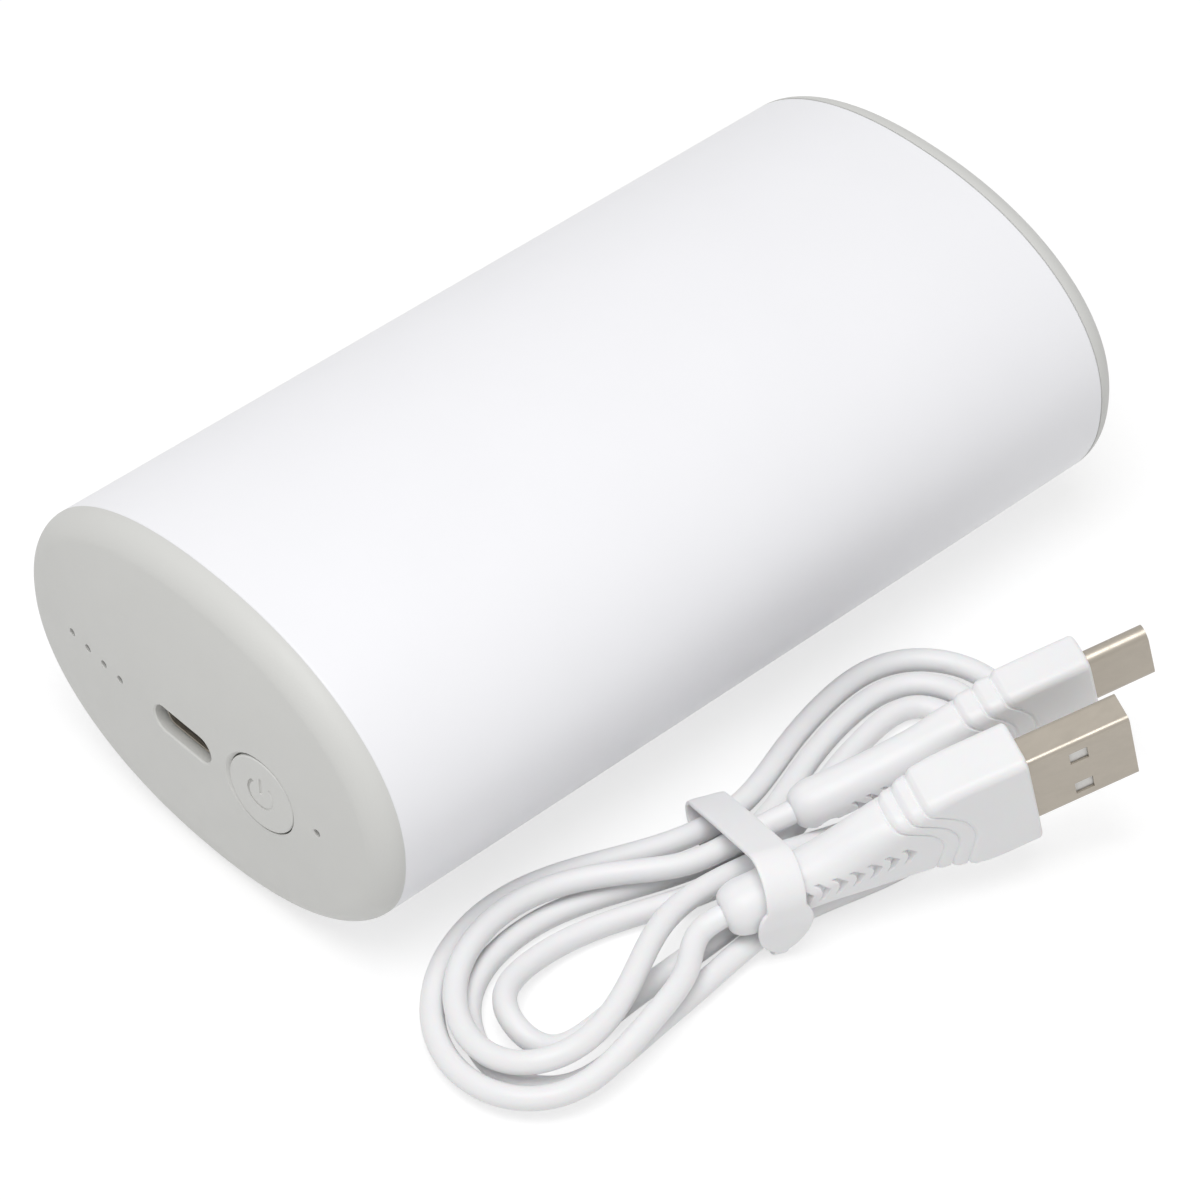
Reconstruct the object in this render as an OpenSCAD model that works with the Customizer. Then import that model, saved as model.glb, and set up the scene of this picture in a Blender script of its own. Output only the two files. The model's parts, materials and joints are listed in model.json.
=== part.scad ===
// Rechargeable hand warmer: a metal sleeve of oval section closed by two domed
// caps, with its charging lead lying beside it as a tied hank.
// X is the width, +Y the length away from the control face, +Z is up.

/* [Body] */
// Width of the oval section
body_w = 68; // [67:0.5:74]
// Height of the oval section
body_h = 46; // [45.5:0.5:52]
// Length of the metal sleeve
sleeve_l = 117.4; // [117:0.2:130]
// Wall of the metal sleeve
sleeve_wall = 1.4; // [1.2:0.1:1.4]
// Exponent of the oval, where 2 is an ellipse
oval_power = 2.16; // [2.1:0.02:2.4]

/* [Caps] */
// How far the middle of a cap stands out of the sleeve
cap_rise = 5.9; // [5.6:0.1:7]
// How much lower the dome is at its rim than in its middle
dome_sag = 2.8; // [2.4:0.1:3]
// Radius of the moulded edge
cap_edge = 3.2; // [2.8:0.1:3.6]
// Wall of the dome
cap_wall = 2; // [1.8:0.1:2.2]
// How deep the skirt reaches into the sleeve
skirt_l = 6.7; // [5:0.1:7]

/* [Control face] */
// Distance of the power button from the middle
button_x = 14.1; // [13.5:0.1:15]
// Radius of the power button
button_r = 5.4; // [4.8:0.1:5.4]
// Travel of the power button
button_travel = 0.4; // [0.2:0.1:0.5]
// Width of the charging port
port_w = 10.6; // [10:0.1:11]
// Height of the charging port
port_h = 3.9; // [3.7:0.1:4.2]
// Bore over each indicator
led_bore = 1.1; // [0.8:0.1:1.2]

/* [Cells] */
// Diameter of a battery cell
cell_d = 18.3; // [18:0.1:18.3]
// Distance between the axes of two cells
cell_pitch = 19; // [18.8:0.1:19]

/* [Charging lead] */
// Diameter of the lead
cord_d = 2.8; // [2.4:0.1:2.8]
// Thickness of the tie
tie_t = 0.7; // [0.6:0.1:0.8]
// Width of the tie
tie_w = 5.8; // [4:0.1:6]

/* [Hidden] */
$fn = 48;

mid_z = body_h / 2;
half_w = body_w / 2;
face_y = -sleeve_l / 2;
apex_y = face_y - cap_rise;
inner_w = half_w - sleeve_wall;
inner_h = mid_z - sleeve_wall;
skirt_gap = 0.1;
skirt_wall = 1.4;
cradle_w = inner_w - 1.75;
cradle_h = inner_h - 1.75;
cradle_wall = 1.5;
film_t = 0.25;
cell_r = cell_d / 2;
cell_y0 = -19.9;
cell_y1 = 44.3;
strip_t = 0.2;
wall_t = 2;
wall_front_y = -24;
wall_rear_y = 45.8;
rib_ys = [-10, 12, 34];
board_top = mid_z - 1.58;
board_t = 1.6;
board_front = -59.5;
board_rear = -26;
board_half = 25;
led_xs = [-22.7, -19.2, -15.7, -12.3];
heat_led_x = 23.4;
button_bore = button_r + 0.2;
pad_y = apex_y + 3.2;
flange_y = pad_y + 0.1;
stem_y = -59.05;
switch_y = -57.5;
plunger_end = switch_y + 1.2;
board_posts = [[-19, -50], [19, -50], [-16, -31], [16, -31]];
cradle_posts = [[-27, -28], [27, -28]];
oval_sides = 64;
fine_sides = 96;

// Points of the oval section, which is a superellipse
function oval(a, b, n = oval_sides) = [for (i = [0:n - 1])
    let (c = cos(360 * i / n), s = sin(360 * i / n))
    [a * sign(c) * pow(abs(c), 2 / oval_power),
     b * sign(s) * pow(abs(s), 2 / oval_power)]];
function smooth(t) = let (u = min(max(t, 0), 1)) u * u * (3 - 2 * u);
function keyed(v, t) = let (n = len(v) - 1, i = min(floor(t * n), n - 1))
    v[i] + (v[i + 1] - v[i]) * smooth(t * n - i);
function flat(v) = [for (a = v) for (b = a) b];
function unit(v) = v / norm(v);

// A closed loft through rings of equal count, ended by two middle points
module loft(rings, first, last) {
    n = len(rings[0]);
    m = len(rings);
    e = n * m + 1;
    polyhedron(
        points = concat([first], flat(rings), [last]),
        faces = concat(
            [for (i = [0:n - 1]) [0, 1 + i, 1 + (i + 1) % n]],
            [for (k = [0:m - 2]) for (i = [0:n - 1])
                let (a = 1 + k * n + i, b = 1 + k * n + (i + 1) % n) [a, a + n, b + n]],
            [for (k = [0:m - 2]) for (i = [0:n - 1])
                let (a = 1 + k * n + i, b = 1 + k * n + (i + 1) % n) [a, b + n, b]],
            [for (i = [0:n - 1])
                [e, 1 + (m - 1) * n + (i + 1) % n, 1 + (m - 1) * n + i]]),
        convexity = 6);
}
// A tube along a line of points, with flat ends
function tangent(p, i) = unit(p[min(i + 1, len(p) - 1)] - p[max(i - 1, 0)]);
function tube_rings(p, r, n) = [for (i = [0:len(p) - 1])
    let (t = tangent(p, i), s = unit(cross([0.02, 0.03, 1], t)), u = cross(t, s))
    [for (k = [0:n - 1]) p[i] + r * (cos(360 * k / n) * s + sin(360 * k / n) * u)]];
module tube(p, r, n) {
    loft(tube_rings(p, r, n), p[0], p[len(p) - 1]);
}
// A flat outline in X and Z, extruded along the body
module along_y(y0, y1) {
    translate([0, y1, mid_z]) rotate([90, 0, 0]) linear_extrude(y1 - y0) children();
}
// A flat outline in Y and Z, extruded along a plug
module along_x(x0, x1) {
    translate([x0, 0, 0]) rotate([90, 0, 90]) linear_extrude(x1 - x0) children();
}
// A rod along Y
module rod_y(x, z, r, y0, y1) {
    translate([x, y1, z]) rotate([90, 0, 0]) cylinder(r = r, h = y1 - y0);
}
module stadium(w, h) {
    square([w - h, h], center = true);
    for (s = [-1, 1]) translate([s * (w - h) / 2, 0]) circle(d = h);
}
module rounded_bar(w, h, r) {
    square([w - 2 * r, h], center = true);
    square([w, h - 2 * r], center = true);
    for (s = [-1, 1]) for (t = [-1, 1])
        translate([s * (w / 2 - r), t * (h / 2 - r)]) circle(r = r);
}

// Caps
function dome(k) = cap_rise - dome_sag * k * k;
function cap_ring(a, b, y) = [for (q = [for (i = [oval_sides - 1:-1:0]) oval(a, b)[i]])
    [q[0], y, mid_z + q[1]]];
edge_k = 1 - cap_edge / half_w;
roof_w = inner_w - skirt_gap - skirt_wall;
roof_h = inner_h - skirt_gap - skirt_wall;
function cap_rings() = concat(
    [for (k = [0.35, 0.68])
        cap_ring(k * (half_w - cap_edge), k * (mid_z - cap_edge), face_y - dome(k * edge_k))],
    [for (a = [90, 66, 44, 22, 0]) let (s = cap_edge * (1 - cos(a)))
        cap_ring(half_w - s, mid_z - s, face_y - dome(edge_k) * sin(a))],
    [cap_ring(inner_w - skirt_gap, inner_h - skirt_gap, face_y),
     cap_ring(inner_w - skirt_gap, inner_h - skirt_gap, face_y + skirt_l),
     cap_ring(roof_w, roof_h, face_y + skirt_l),
     cap_ring(roof_w, roof_h, face_y - 0.2),
     cap_ring(roof_w - 1.8, roof_h - 1.8, face_y - dome(edge_k) + cap_wall),
     cap_ring(0.55 * roof_w, 0.55 * roof_h, face_y - dome(0.5) + cap_wall)]);
module cap_shell() {
    loft(cap_rings(), [0, apex_y, mid_z], [0, apex_y + cap_wall, mid_z]);
}
module outer_sleeve() {
    color([0.93, 0.93, 0.94]) along_y(face_y, -face_y) difference() {
        polygon(oval(half_w, mid_z, fine_sides));
        polygon(oval(inner_w, inner_h, fine_sides));
    }
}
module front_cap() {
    color([0.8, 0.8, 0.79]) difference() {
        union() {
            cap_shell();
            rod_y(button_x, mid_z, button_bore + 2, apex_y + 1.2, pad_y);
            along_y(apex_y - 0.15, apex_y + 2.4) stadium(port_w + 1.2, port_h + 1.2);
        }
        along_y(apex_y - 1, apex_y + 3) stadium(port_w, port_h);
        rod_y(button_x, mid_z, button_bore, apex_y - 1, pad_y + 4);
        rod_y(button_x, mid_z, button_bore + 2, pad_y, pad_y + 4);
        for (x = concat(led_xs, [heat_led_x]))
            rod_y(x, mid_z, led_bore / 2, apex_y - 1, apex_y + 5);
    }
}
module rear_cap() {
    color([0.8, 0.8, 0.79]) {
        mirror([0, 1, 0]) cap_shell();
        for (s = [-1, 1])
            rod_y(s * 14, mid_z, 2.5, wall_rear_y + wall_t, -apex_y - cap_wall - 0.4);
    }
}
module power_button() {
    color([0.78, 0.78, 0.77]) {
        intersection() {
            rod_y(button_x, mid_z, button_r, apex_y - 1, flange_y);
            translate([0, apex_y + 0.05 + 206, mid_z]) sphere(r = 206, $fn = 200);
        }
        rod_y(button_x, mid_z, button_r + 1, flange_y, flange_y + 0.8);
        rod_y(button_x, mid_z, 1.4, flange_y + 0.8, stem_y);
    }
}

// Battery cradle in two halves
module cradle_ring(a, b) {
    difference() {
        polygon(oval(a, b, fine_sides));
        polygon(oval(a - cradle_wall, b - cradle_wall, fine_sides));
    }
}
module half_plane(side) {
    translate([-50, side > 0 ? 0 : -50]) square([100, 50]);
}
module cradle_half(side, y0, y1, slack) {
    a = cradle_w - slack;
    b = cradle_h - slack;
    along_y(y0, y1) intersection() {
        cradle_ring(a, b);
        half_plane(side);
    }
    for (y = [wall_front_y, wall_rear_y])
        along_y(y, y + wall_t) intersection() {
            polygon(oval(a - 0.7, b - 0.7, fine_sides));
            half_plane(side);
        }
    for (y = rib_ys) along_y(y, y + 2) intersection() {
        difference() {
            polygon(oval(a - 0.7, b - 0.7, fine_sides));
            for (i = [-1:1]) translate([i * cell_pitch, 0]) circle(r = cell_r + 0.05);
            square([2 * cell_pitch, 10], center = true);
        }
        half_plane(side);
    }
}
module battery_cradle_lower() {
    color([0.25, 0.26, 0.28]) difference() {
        union() {
            cradle_half(-1, -56, wall_rear_y + wall_t, 0);
            intersection() {
                union() {
                    for (p = board_posts) translate([p[0], p[1], 0])
                        cylinder(r = 2.6, h = board_top - board_t);
                    for (p = cradle_posts) translate([p[0], p[1], 0])
                        cylinder(r = 2.3, h = mid_z);
                }
                along_y(-56, -20) polygon(oval(cradle_w - 0.5, cradle_h - 0.5, fine_sides));
            }
        }
        for (p = board_posts) translate([p[0], p[1], board_top - 9])
            cylinder(r = 1, h = 20);
        for (p = cradle_posts) translate([p[0], p[1], mid_z - 7])
            cylinder(r = 0.8, h = 20);
    }
}
module battery_cradle_upper() {
    color([0.27, 0.28, 0.3]) difference() {
        union() {
            cradle_half(1, wall_front_y, wall_rear_y + wall_t, 0.05);
            for (p = cradle_posts) intersection() {
                translate([p[0] - 2.3, p[1] - 2.3, mid_z]) cube([4.6, 7, 2]);
                along_y(-40, -20) polygon(oval(cradle_w - 0.5, cradle_h - 0.5, fine_sides));
            }
        }
        for (p = cradle_posts) translate([p[0], p[1], mid_z - 1]) cylinder(r = 1, h = 5);
        for (s = [-1, 1]) rod_y(s * 9.5, mid_z + 9, 1.5, wall_front_y - 1, wall_rear_y - 0.1);
    }
}
module cradle_screws() {
    color([0.6, 0.6, 0.62]) for (p = cradle_posts) translate([p[0], p[1], 0]) {
        translate([0, 0, mid_z + 2]) cylinder(r = 1.7, h = 1.2);
        translate([0, 0, mid_z - 6]) cylinder(r = 0.8, h = 8);
    }
}
module cell(i) {
    color([0.2, 0.45, 0.6]) {
        rod_y(i * cell_pitch, mid_z, cell_r, cell_y0, cell_y1);
        rod_y(i * cell_pitch, mid_z, 3, cell_y0 - 0.6, cell_y0);
    }
}
module battery_cell_left() { cell(-1); }
module battery_cell_middle() { cell(0); }
module battery_cell_right() { cell(1); }
module strip(y) {
    color([0.75, 0.75, 0.72]) along_y(y, y + strip_t) rounded_bar(2 * cell_pitch + 7, 7, 1);
}
module nickel_strip_front() { strip(cell_y0 - 0.6 - strip_t); }
module nickel_strip_rear() { strip(cell_y1); }

// Heating films and the pads that press them against the sleeve
first_side = 10;
last_side = 38;
function arc_points(a, b, up) = [for (i = [first_side:last_side])
    let (q = oval(a, b, fine_sides)[i]) [q[0], up * q[1]]];
module blanket(gap, t, up, y0, y1) {
    outer = arc_points(inner_w - gap, inner_h - gap, up);
    inner = arc_points(inner_w - gap - t, inner_h - gap - t, up);
    along_y(y0, y1) polygon(concat(outer, [for (i = [len(inner) - 1:-1:0]) inner[i]]));
}
module heating_film_top() { color([0.8, 0.5, 0.2]) blanket(0, film_t, 1, -28, 44); }
module heating_film_bottom() { color([0.8, 0.5, 0.2]) blanket(0, film_t, -1, -28, 44); }
module insulation_pad_top() {
    color([0.35, 0.35, 0.36]) blanket(film_t, 1.5, 1, wall_front_y, 44);
}
module insulation_pad_bottom() {
    color([0.35, 0.35, 0.36]) blanket(film_t, 1.5, -1, wall_front_y, 44);
}

// Circuit board and what it carries
module on_board(x, y) {
    translate([x, y, board_top]) children();
}
module circuit_board() {
    color([0.1, 0.35, 0.2]) difference() {
        translate([0, 0, board_top - board_t]) linear_extrude(board_t) polygon([
            [-board_half, board_front], [board_half, board_front], [board_half, -34],
            [21, -32], [21, board_rear], [-21, board_rear], [-21, -32], [-board_half, -34]]);
        for (p = board_posts) translate([p[0], p[1], board_top - 5])
            cylinder(r = 1.3, h = 10);
    }
}
module board_screws() {
    color([0.6, 0.6, 0.62]) for (p = board_posts) translate([p[0], p[1], 0]) {
        translate([0, 0, board_top]) cylinder(r = 2, h = 1.2);
        translate([0, 0, board_top - 7]) cylinder(r = 1, h = 7);
    }
}
module usb_c_receptacle_shell() {
    color([0.7, 0.7, 0.7]) along_y(apex_y + 1.4, apex_y + 8.75) difference() {
        stadium(8.94, 3.16);
        stadium(8.34, 2.56);
    }
}
module usb_c_receptacle_tongue() {
    color([0.12, 0.12, 0.12]) {
        along_y(apex_y + 2.2, apex_y + 7) rounded_bar(6.7, 0.7, 0.3);
        along_y(apex_y + 7, apex_y + 8.7) stadium(8.34, 2.56);
    }
}
module controller_chip() { color([0.1, 0.1, 0.1]) on_board(-3, -43) cube([6, 6, 0.9]); }
module power_inductor() {
    color([0.2, 0.2, 0.21]) on_board(-15, -43) {
        linear_extrude(0.6) square([7, 7]);
        translate([3.5, 3.5, 0.6]) cylinder(r = 3.3, h = 2.4);
    }
}
module power_transistors() {
    color([0.12, 0.12, 0.13]) for (x = [7, 13]) on_board(x, -43) cube([5, 4, 1.1]);
}
module capacitors() {
    color([0.7, 0.6, 0.45]) for (i = [0:5]) on_board(-10 + 3.6 * i, -35) cube([1.6, 0.8, 0.8]);
}
module side_led(x) {
    on_board(x - 0.8, board_front + 0.1) cube([1.6, 1.2, 2.2]);
}
module battery_leds() { color([0.9, 0.9, 0.8]) for (x = led_xs) side_led(x); }
module heat_led() { color([0.9, 0.9, 0.8]) side_led(heat_led_x); }
module light_pin(x) {
    top = face_y - cap_rise + dome_sag * pow(x / half_w, 2);
    rod_y(x, mid_z, led_bore / 2 - 0.05, top + 0.8, -60.3);
}
module battery_light_pipe() {
    color([0.85, 0.86, 0.88]) {
        for (x = led_xs) light_pin(x);
        translate([-23.5, -60.3, mid_z - 0.8]) cube([12, 0.7, 1.6]);
    }
}
module heat_light_pipe() {
    color([0.85, 0.86, 0.88]) {
        light_pin(heat_led_x);
        translate([heat_led_x - 0.8, -60.3, mid_z - 0.8]) cube([1.6, 0.7, 1.6]);
    }
}
module tact_switch_body() {
    color([0.15, 0.15, 0.15]) difference() {
        translate([button_x - 3.1, switch_y, board_top]) cube([6.2, 3.5, 3.4]);
        rod_y(button_x, mid_z, 1, switch_y - 1, plunger_end + button_travel + 0.4);
    }
}
module tact_switch_plunger() {
    color([0.85, 0.85, 0.8]) rod_y(button_x, mid_z, 0.9, stem_y + 0.1, plunger_end);
}
module thermistor() {
    top = mid_z + inner_h - film_t;
    color([0.15, 0.15, 0.16]) {
        rod_y(0, top - 0.9, 0.75, -27.5, -24.6);
        for (x = [-0.4, 0.4]) {
            rod_y(x, top - 0.9, 0.15, -28.6, -27.5);
            translate([x, -28.6, board_top]) cylinder(r = 0.15, h = top - 0.8 - board_top);
        }
    }
}
module wire(p, r) { tube(p, r, 8); }
module battery_lead_positive() {
    z = mid_z + 9;
    y = cell_y0 - 0.6 - strip_t - 0.6;
    color([0.7, 0.1, 0.1]) wire([[-9.5, y, mid_z + 1.5], [-9.5, y, mid_z + 6],
        [-9.5, y - 0.2, mid_z + 8.2], [-9.5, -23.2, z], [-9.5, -25, z], [-9.5, -27, mid_z + 7.6],
        [-9.5, -28, mid_z + 4], [-9.5, -28.2, mid_z + 1], [-9.5, -28.2, board_top]], 0.6);
}
module battery_lead_negative() {
    z = mid_z + 9;
    y = cell_y1 + strip_t + 0.6;
    color([0.12, 0.12, 0.12]) wire([[9.5, y, mid_z + 1.5], [9.5, y, mid_z + 6],
        [9.5, y - 0.4, mid_z + 8.2], [9.5, 42.6, z], [9.5, 20, z], [9.5, 0, z], [9.5, -21, z],
        [9.5, -25, z], [9.5, -27, mid_z + 7.6], [9.5, -28, mid_z + 4], [9.5, -28.2, mid_z + 1],
        [9.5, -28.2, board_top]], 0.6);
}
// Leads of the films: the lower pair runs round the cradle inside the sleeve
function side_point(t, y, depth = 0.85) = [
    (inner_w - depth) * sign(cos(t)) * pow(abs(cos(t)), 2 / oval_power), y,
    mid_z + (inner_h - depth) * sign(sin(t)) * pow(abs(sin(t)), 2 / oval_power)];
module heater_leads() {
    color([0.85, 0.85, 0.82]) for (i = [0, 1]) {
        y = -38 - 2.2 * i;
        wire(concat([side_point(226, -28, 0.7), side_point(226, -30 - i, 0.7)],
            [for (k = [0:3]) side_point(224 - 2 * k, -31 - i + (y + 31 + i) * (k + 1) / 4)],
            [for (t = [212:-8:172]) side_point(t, y)],
            [[-28.4, y, mid_z + 5], [-25.4, y, mid_z + 3.8], [-23.4, y, mid_z + 1.6],
             [-23, y, mid_z + 0.2], [-23, y, board_top]]), 0.4);
        x = 5 + 2 * i;
        wire([[x, -28.4, mid_z + 20.4], [x, -30, mid_z + 19], [x, -31, mid_z + 12],
            [x, -31, mid_z + 4], [x, -31, board_top]], 0.4);
    }
}

// Charging lead: places of the two plugs, which lie on the hank
a_end = [54.3, -26.6, 6.9];
a_heading = 67.8;
a_roll = 6.7;
c_end = [47.7, -8.8, 7.2];
c_heading = 68.4;
c_roll = 3;
plug_pitch = 14;
a_length = 39.8;
c_length = 40;
a_dir = [cos(plug_pitch) * cos(a_heading), cos(plug_pitch) * sin(a_heading), sin(plug_pitch)];
c_dir = [cos(plug_pitch) * cos(c_heading), cos(plug_pitch) * sin(c_heading), sin(plug_pitch)];
module at_plug_a() {
    translate(a_end) rotate([a_roll, -plug_pitch, a_heading]) children();
}
module at_plug_c() {
    translate(c_end) rotate([c_roll, -plug_pitch, c_heading]) children();
}

// Hank: seven half loops about a waist, three and a half to each side.
// A half loop holds its side, its inset from the outermost loop at the start and
// the end, its lane at the waist at both ends, the heights along it, and the
// share of it in which the inset changes.
waist = [49.8, -17.6];
waist_lift = 1.2;
waist_slant = 0.35;
low = 1.5;
near_reach = 47.2;
far_reach = 46.6;
near_half = 14.7;
far_half = 12.6;
near_bow = 4.6;
far_lean = 5.5;
half_loops = [
    [-1, 0.1, 0.1, -1.7, 9.6, [low, 6.4, 3.9, 2.6, 2.3, 2.3, low], 0.2, 0.6],
    [1, -0.2, -1.2, 9.6, 6.5, [low, low, 1.9, 2.2, 2.1, low, low], 0.2, 0.6],
    [-1, 1.4, 5.1, 6.5, 5.1, [low, 2.3, low, 1.6, low, low, 1.6], 0.2, 0.6],
    [1, 3.4, 3.6, 5.1, 3.3, [1.6, low, low, 2.1, 2.5, 2.4, low], 0.2, 0.6],
    [-1, 6.9, 10, 3.3, 1.2, [low, 1.6, low, 4.3, 3.5, 1.6, 1.6], 0.2, 0.6],
    [1, 7.6, 7.1, 1.2, 0.1, [1.6, 1.9, 1.8, low, low, low, 5], 0.2, 0.6],
    [-1, 15, 3.2, 0.1, 1.8, [5, 7, 7, 4.6, 4.5, 4.9, 5], 0.06, 0.24]];
run_share = 0.27;
first_share = 0.14;
last_share = 0.92;
rings_per_half = 12;
steps_per_ring = 5;
bridge_rings = 6;
easing_passes = 12;
function hank_point(row, t) = let (
    side = row[0],
    inset = row[1] + (row[2] - row[1]) * smooth((t - row[6]) / (row[7] - row[6])),
    r = (side < 0 ? near_half : far_half) - inset,
    reach = side < 0 ? near_reach : far_reach,
    run = reach - inset - r,
    q = t < 0.5 ? t / run_share : (1 - t) / run_share,
    lane = t < 0.5 ? row[3] : row[4],
    on_run = q < 1,
    turn = 180 * (t - run_share) / (1 - 2 * run_share),
    a = on_run ? run * q : run + r * sin(turn),
    b = on_run ? (t < 0.5 ? 1 : -1) * (lane + (r - lane) * smooth(q / 0.72)) : r * cos(turn),
    u = a / reach,
    x = waist[0] - (side < 0 ? near_bow * pow(sin(180 * u), 2) : far_lean * smooth(1.1 * u))
        - side * b,
    slant = waist_slant * (x - waist[0]) * (1 - smooth(a / 24)),
    lift = waist_lift * (1 - smooth(a / 14)))
    [x, waist[1] + side * a - slant, keyed(row[5], t) + lift];
function half_loop(j) = let (
    lo = j == 0 ? first_share : 0,
    hi = j == 6 ? last_share : 1,
    n = round(rings_per_half * steps_per_ring * (hi - lo)))
    [for (i = [0:j == 6 ? n : n - 1]) hank_point(half_loops[j], lo + (hi - lo) * i / n)];
function bridge(p, dp, q, dq, n) = let (s = norm(q - p)) [for (i = [0:n])
    let (t = i / n) (2 * t * t * t - 3 * t * t + 1) * p + (t * t * t - 2 * t * t + t) * s * dp
        + (3 * t * t - 2 * t * t * t) * q + (t * t * t - t * t) * s * dq];
wound = flat([for (j = [0:6]) half_loop(j)]);
last_i = len(wound) - 1;
a_bridge = bridge(a_end - 3 * a_dir, -a_dir, wound[0], unit(wound[1] - wound[0]),
    bridge_rings * steps_per_ring);
c_bridge = bridge(wound[last_i], unit(wound[last_i] - wound[last_i - 1]),
    c_end - 3 * c_dir, c_dir, bridge_rings * steps_per_ring);
// The lead is stiff, so its bends are eased along the whole line
function eased(p, passes) = passes == 0 ? p : let (n = len(p) - 1)
    eased([for (i = [0:n]) i == 0 || i == n ? p[i] : (p[i - 1] + 2 * p[i] + p[i + 1]) / 4],
        passes - 1);
fine_line = eased(concat(a_bridge, [for (i = [1:last_i - 1]) wound[i]], c_bridge),
    easing_passes);
last_fine = len(fine_line) - 1;
cord_line = concat([a_end],
    [for (i = [0:steps_per_ring:last_fine - steps_per_ring]) fine_line[i]],
    [fine_line[last_fine], c_end]);
module lead_cord() {
    color([0.92, 0.92, 0.92]) tube(cord_line, cord_d / 2, 6);
}
// Length of the lead and its least gap to itself, measured on close points that
// lie further apart along the lead than one bend
parts_per_step = 5;
one_bend = 9;
close_line = [for (i = [0:len(cord_line) - 2]) for (k = [0:parts_per_step - 1])
    cord_line[i] + (cord_line[i + 1] - cord_line[i]) * k / parts_per_step];
last_close = len(close_line) - 1;
travelled = [for (i = 0, s = 0; i <= last_close;
    s = s + (i < last_close ? norm(close_line[i + 1] - close_line[i]) : 0), i = i + 1) s];
apart = [for (i = [0:last_close]) for (j = [i + 1:last_close])
    if (travelled[j] - travelled[i] > one_bend) norm(close_line[j] - close_line[i])];
union() {  // lead_cord
    echo(lead_length = travelled[last_close], least_gap_to_itself = min(apart) - cord_d);
}

// Tie: a strap round the waist of the hank, over the plug that it holds.
// The strap touches the outer strands and the relief of the plug.
strap_gap = 0.2;
strap_strands = [[-12.8, 2.3], [-4.6, 6.6], [4.8, 2.3], [9, 2.4]];
strap_relief = [[7.7, 7.9], [7.7, 10]];
relief_r = 3.85;
module tie_outline(grow) {
    hull() {
        for (p = strap_strands) translate(p) circle(r = cord_d / 2 + strap_gap + grow, $fn = 24);
        for (p = strap_relief) translate(p) circle(r = relief_r + strap_gap + grow, $fn = 36);
    }
}
module cord_tie() {
    color([0.9, 0.9, 0.9]) translate([49.75, -17.5, 0]) rotate([90, 0, a_heading - 90])
        translate([0, 0, -tie_w / 2]) linear_extrude(tie_w) difference() {
            tie_outline(tie_t);
            tie_outline(0);
        }
}

// Plugs, each in its own frame: X to the tip, Z across the width
function plug_section(x, w, h, p) = [for (i = [0:23]) let (c = cos(15 * i), s = sin(15 * i))
    [x, h * sign(c) * pow(abs(c), 2 / p), w * sign(s) * pow(abs(s), 2 / p)]];
// Three ridges where the relief widens into the grip
function ridged(x0, w0, h0, x1, w1, h1, bump, p0, p1) = [for (i = [0:12]) let (t = i / 12,
    b = bump * pow(sin(540 * t), 2))
    plug_section(x0 + (x1 - x0) * t, w0 + (w1 - w0) * t + b, h0 + (h1 - h0) * t + b * 0.6,
        p0 + (p1 - p0) * t)];
module overmould(w0, w1, w2, h0, h1, h2, neck0, neck1, length, bump) {
    loft(concat(
        [plug_section(0, w0 - 0.9, h0 - 0.9, 2.2), plug_section(0.5, w0 - 0.25, h0 - 0.25, 2.2),
         plug_section(1.4, w0, h0, 2.2), plug_section(neck0 * 0.55, (w0 + w1) / 2, (h0 + h1) / 2, 2.4)],
        ridged(neck0, w1, h1, neck1, w2, h2, bump, 2.6, 4.5),
        [plug_section(length - 0.7, w2, h2, 5), plug_section(length - 0.2, w2 - 0.2, h2 - 0.2, 5),
         plug_section(length, w2 - 0.6, h2 - 0.6, 5)]),
        [0, 0, 0], [length, 0, 0]);
}
// A row of small cuts stands for the arrows along a relief
module relief_notches(n, x0, step, y, z) {
    for (i = [0:n - 1]) translate([x0 + step * i, y, z])
        rotate([0, 45, 0]) cube([0.85, 2, 0.85], center = true);
}
module usb_a_overmould() {
    color([0.92, 0.92, 0.92]) at_plug_a() difference() {
        overmould(3.6, 4.9, 7.7, 3.6, 3.7, 3.7, 16, 26.5, a_length, 0.5);
        relief_notches(8, 8, 2.15, -3.9, 0);
        along_x(a_length - 6, a_length + 1) rounded_bar(4.5, 12, 0.7);
    }
}
module usb_a_shell() {
    color([0.7, 0.68, 0.64]) at_plug_a() difference() {
        along_x(a_length - 6, a_length + 13.6) difference() {
            rounded_bar(4.5, 12, 0.7);
            rounded_bar(3.9, 11.4, 0.4);
        }
        for (z = [-3.2, 3.2]) translate([a_length + 5.4, -5, z - 1.1]) cube([2.4, 10, 2.2]);
    }
}
module usb_a_tongue() {
    color([0.9, 0.9, 0.9]) at_plug_a() {
        translate([a_length - 5.6, -1.85, -5.5]) cube([18.4, 1.75, 11]);
        translate([a_length - 5.6, -0.15, -5.5]) cube([5, 2, 11]);
    }
}
module usb_a_contacts() {
    color([0.8, 0.68, 0.35]) at_plug_a() for (z = [-3.5, -1.25, 1.25, 3.5])
        translate([a_length + 0.8, -0.1, z - 0.5]) cube([10.6, 0.2, 1]);
}
module usb_c_overmould() {
    color([0.92, 0.92, 0.92]) at_plug_c() difference() {
        overmould(3.3, 3.9, 5.4, 3.1, 3, 2.9, 16, 26, c_length, 0.4);
        relief_notches(5, 9.5, 2.1, -3.3, -1.2);
        along_x(c_length - 5.2, c_length + 1) plug_stadium(8.34, 2.56);
    }
}
module usb_c_plug_shell() {
    color([0.66, 0.64, 0.62]) at_plug_c() along_x(c_length - 5.2, c_length + 8.2) difference() {
        plug_stadium(8.34, 2.56);
        plug_stadium(7.74, 1.96);
    }
}
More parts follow.
